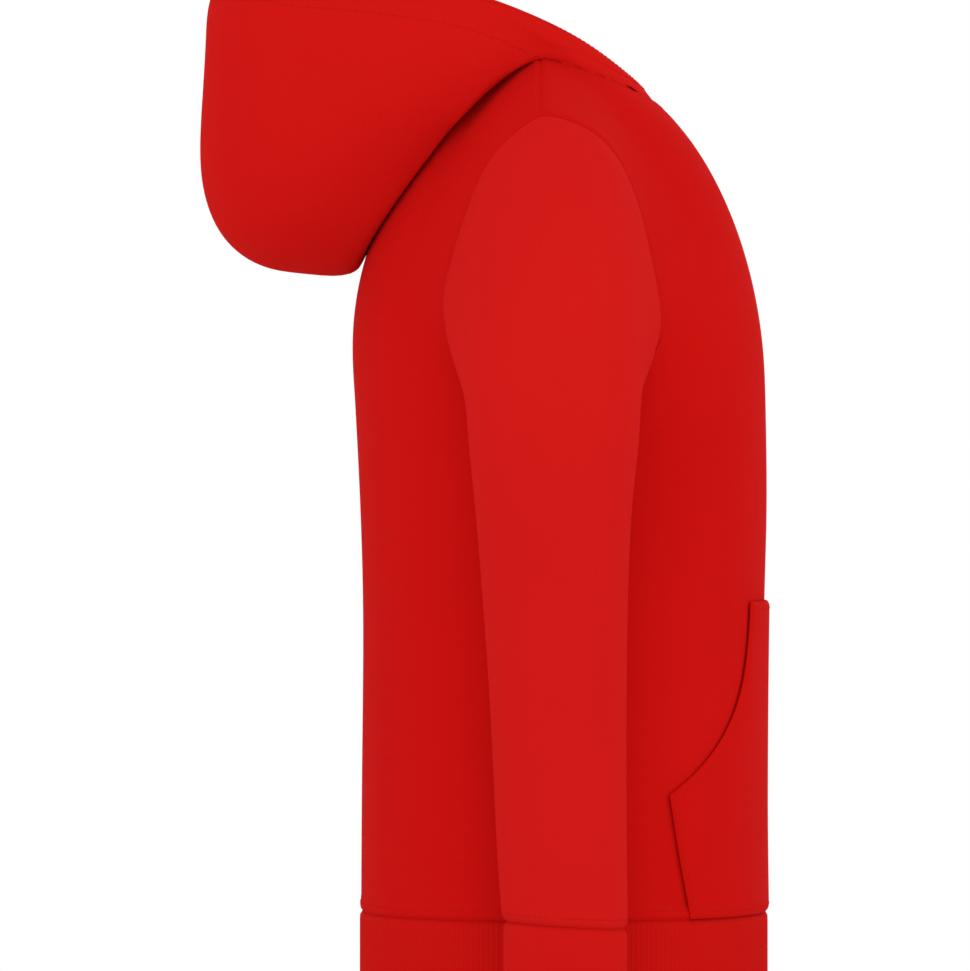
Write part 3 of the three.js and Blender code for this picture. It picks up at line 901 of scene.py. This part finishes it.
# %% Front and back panels
panel_sliver = 3.2 * MM
small_sliver = 0.1 * MM
seam_border = 6 * MM
seam_depth = 2.0 * MM
seam_width = 3.0 * MM
stitch_distance = 5 * MM
sharp_turn = 35

front = outer_face("front_panel", "front_cloth", cloth_thickness, Vector((0, -1, 0)), panel_sliver)
back = outer_face("back_panel", "back_cloth", cloth_thickness, Vector((0, 1, 0)), panel_sliver)
for panel in (front, back):
    lay_flat(panel)
    soften(panel, seam_border, sharp_turn)
    roll_edge(panel, seam_depth, seam_width)
    sew_to(panel, hem_seam, reach=5 * MM, falloff=9 * MM)
sew_to(back, rim_line([front]), reach=3.5 * MM, falloff=8 * MM)

# %% [markdown]
# ## Sleeves
# Each sleeve is one piece, sewn into a tube under the arm and set into the armhole. The fullness at
# the underarm gathers in one deep fold at the front and a smaller one behind.

# %% Helper: the sleeve's seam and folds
underarm_y = -9 * MM
underarm_width = 4.5 * MM
underarm_x = 165 * MM
underarm_z = -178 * MM


def underarm_seam(point):
    """Whether a point lies on the line under the arm where the sleeve is sewn into a tube."""
    if abs(point.x) >= underarm_x or point.z >= underarm_z:
        return False
    return abs(point.y - underarm_y) < underarm_width


def sleeve_folds(side):
    """The sleeve's creases; side is 1 on the left and -1 on the right."""
    return [
        (((side * 150, -60, -150), (side * 160, -52, -172), (side * 172, -47, -200)), 8, 3.2),
        (((side * 152, 52, -140), (side * 164, 47, -165), (side * 176, 40, -195)), 8, 1.6),
        (((side * 212, -34, -130), (side * 214, -38, -190), (side * 210, -34, -270)), 16, 0.5),
    ]


# %% Sleeves
armholes = []
for side, word in ((1, "left"), (-1, "right")):
    way_out = Vector((side, 0, 0))
    sleeve = outer_face(f"sleeve_{word}", f"sleeve_{word}_cloth", cloth_thickness, way_out, small_sliver)
    lay_flat(sleeve, underarm_seam)
    soften(sleeve, seam_border)
    roll_edge(sleeve, seam_depth, seam_width)
    sew_to(sleeve, rim_line([front, back]), reach=8 * MM, falloff=18 * MM)
    sew_to(sleeve, cuff_seams[word], reach=5 * MM, falloff=8 * MM)
    press_folds(sleeve, sleeve_folds(side))
    armholes += rim_line([sleeve])
    stitch(sleeve, f"sleeve_{word}_stitches", (cuff_seams[word], stitch_distance))
    finish_cloth(sleeve, cloth_thickness, sleeve_cloth_painted_light)
    declare(sleeve, f"sleeve_{word}")
print("armholes and cuff ends:", len(armholes), "points")

# %% Press the creases of the panels
press_folds(front, front_folds)
press_folds(back, back_folds)

# %% [markdown]
# ## Hood
# The hood is cut in two halves that meet on the centre seam, and is made double. Lying down it forms
# a full bag behind the neck, and the underside of the bag rests on the shoulders and the back. A cloth
# simulation would let it fall there, but would also lose its outline. So the side that faces the
# shoulders is drawn down onto them, the more the closer it is.

# %% Helper: lay a piece down on what is under it
facing_slope = 1.5
facing_start = 0.6
rest_ramp = 14 * MM


def surface_of(pieces):
    """A search tree that finds the place on some pieces nearest to a point."""
    points, faces = [], []
    for piece in pieces:
        start = len(points)
        points += [v.co.copy() for v in piece.data.vertices]
        faces += [[start + i for i in p.vertices] for p in piece.data.polygons]
    return BVHTree.FromPolygons(points, faces)


def rest_on(piece, surface, gap, reach, behind):
    """Draws the side that faces the surface down onto it, less and less up to reach, behind a place."""
    normals = [v.normal.copy() for v in piece.data.vertices]
    for vertex, normal in zip(piece.data.vertices, normals):
        place, _, _, distance = surface.find_nearest(vertex.co, reach)
        if place is None or distance < 1e-6:
            continue
        towards = (place - vertex.co) / distance
        facing = min(1, max(0, normal.dot(towards) * facing_slope + facing_start))
        ramp = min(1, max(0, (vertex.co.y - behind) / rest_ramp))
        share = (1 - (distance / reach) ** 2) ** 2 * facing * ramp
        vertex.co += towards * (distance - gap) * share
    piece.data.update()


# %% [markdown]
# ## The neck seam
# The neck edge of the hood is one stretch of its rim, from the throat round to the nape, and the rest
# of the rim is the opening and the centre seam. Towards the throat the rows of the sheet run together,
# and being drawn to the neckline would crumple them, so the points beside that stretch are evened
# out. The edge laps over the neckline by the width of a seam, and is sunk a little into the cloth
# under it, as stitching presses it, so that no light shows through.

# %% Helper: a stretch of the rim, and the cloth beside it
def rim_loop(piece, first, last):
    """The rim's vertex numbers in order, from the place nearest first by the shorter way to last."""
    links = {}
    for a, b in rim_edges(piece):
        links.setdefault(a, []).append(b)
        links.setdefault(b, []).append(a)
    points = piece.data.vertices
    start = min(links, key=lambda i: (points[i].co - first).length)
    end = min(links, key=lambda i: (points[i].co - last).length)
    ways = []
    for step in links[start]:
        way = [start, step]
        while way[-1] != start:
            way.append(next(i for i in links[way[-1]] if i != way[-2]))
        ways.append(way[:-1])
    loop = min(ways, key=lambda way: way.index(end))
    return loop, loop.index(end)


def relax_beside(piece, edge, reach, rounds):
    """Evens out the inner points near a stretch of the edge, where the sheet's rows run together."""
    points = piece.data.vertices
    tree = point_tree([points[i].co.copy() for i in edge])
    rim = rim_points(piece)
    only(piece)
    bpy.ops.object.mode_set(mode="EDIT")
    bpy.ops.mesh.select_mode(type="VERT")
    bpy.ops.mesh.select_all(action="DESELECT")
    bpy.ops.object.mode_set(mode="OBJECT")
    for vertex in points:
        vertex.select = vertex.index not in rim and tree.find(vertex.co)[2] < reach
    bpy.ops.object.mode_set(mode="EDIT")
    bpy.ops.mesh.vertices_smooth(factor=0.5, repeat=rounds)
    bpy.ops.object.mode_set(mode="OBJECT")


# %% Where the hood is sewn on
neck_overlap = 1.6 * MM
neck_sink = 0.25 * MM
row_parts = 6
nape_width = 4 * MM

nape = max((p for p in rim_points(back).values() if abs(p.x) < nape_width), key=lambda p: p.z)
neck_rows = []
for panel in (front, back):
    for row in rows_beside(panel, rim_line([panel]), neck_overlap):
        for (point, normal), (onward, _) in zip(row, row[1:]):
            steps = [point.lerp(onward, i / row_parts) for i in range(row_parts)]
            neck_rows += [step - normal * neck_sink for step in steps]
print("lines beside the panels' edges:", len(neck_rows), "points, nape at", [round(c, 3) for c in nape])

# %% Hood
centre_seam = 1.5 * MM
front_of_neck = 8 * MM
opening_hem = 22 * MM
opening_edge = 3 * MM

shoulders = surface_of([front, back])
hoods = []
necklines = []
openings = []
for side, word in ((1, "left"), (-1, "right")):
    way_out = Vector((side, 0.2, 0))
    hood = outer_face(f"hood_{word}", f"hood_{word}_cloth", hood_thickness, way_out, small_sliver)
    lay_flat(hood)
    soften(hood, 0, sharp_turn)
    rest_on(hood, shoulders, gap=0.6 * MM, reach=42 * MM, behind=-8 * MM)
    throat = min(rim_points(hood).values(), key=lambda p: p.y)
    loop, turn = rim_loop(hood, throat, nape)
    neck_edge = loop[:turn + 1]
    opening = [i for i in loop[turn:] if abs(hood.data.vertices[i].co.x) > centre_seam]
    roll_edge(hood, depth=0.9 * MM, width=3 * MM)
    sew_to(hood, neck_rows, reach=9 * MM, falloff=12 * MM, edge=neck_edge)
    front_part = [i for i in neck_edge if hood.data.vertices[i].co.y < front_of_neck]
    relax_beside(hood, front_part, reach=9 * MM, rounds=16)
    hood.data.update()
    necklines += [hood.data.vertices[i].co.copy() for i in neck_edge]
    openings.append([hood.data.vertices[i].co.copy() for i in opening])
    hoods.append(hood)
sew_to(hoods[1], rim_line([hoods[0]]), reach=1 * MM, falloff=6 * MM)
for hood, word, opening in zip(hoods, ("left", "right"), openings):
    stitch(hood, f"hood_{word}_stitches", (opening, opening_hem), (opening, opening_edge))
    finish_cloth(hood, hood_thickness, hood_cloth_painted_light)
    declare(hood, f"hood_{word}")

# %% [markdown]
# ## Stitch and finish the panels
# The front and the back waited as single sheets until the sleeves and the hood were sewn to them. Now
# their topstitching can follow those seams, and they get their thickness.

# %% Finish the panels
panel_seams = [(seam, stitch_distance) for seam in (hem_seam, necklines, armholes)]
stitch(front, "front_stitches", *panel_seams)
stitch(back, "back_stitches", *panel_seams)
finish_cloth(front, cloth_thickness, body_cloth_painted_shade)
declare(front, "front_panel")
finish_cloth(back, cloth_thickness, body_cloth_painted_shade)
declare(back, "back_panel")

# %% [markdown]
# ## Kangaroo pocket
# The pocket lies on the front panel. Its sides, top and bottom are sewn down, and its two hand
# openings are the curved edges above the pointed corners. Its edges are turned in and pressed flat,
# and one row of stitches runs all round. It ends on the cloth of the front, so it is made thinner
# than the panels.

# %% Kangaroo pocket
pocket_thickness = 1.3 * MM
pocket_border = 3 * MM
pocket_turn = 25
pocket_stitch_distance = 4 * MM

pocket = outer_face(
    "kangaroo_pocket", "pocket_cloth", cloth_thickness, Vector((0, -1, 0)), small_sliver
)
lay_flat(pocket)
soften(pocket, pocket_border, pocket_turn)
roll_edge(pocket, depth=pocket_thickness, width=pocket_border)
stitch(pocket, "pocket_stitches", (rim_line([pocket]), pocket_stitch_distance))
finish_cloth(pocket, pocket_thickness, body_cloth_painted_shade)
declare(pocket, "kangaroo_pocket")

# %% [markdown]
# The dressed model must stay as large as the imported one. Both boxes are written down for comparison.

# %% Write both boxes and finish
cloth_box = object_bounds()
for axis, one, other in zip("xyz", zip(*cad_box), zip(*cloth_box)):
    print(axis, [round(v * 1000, 1) for v in (*one, *other)])
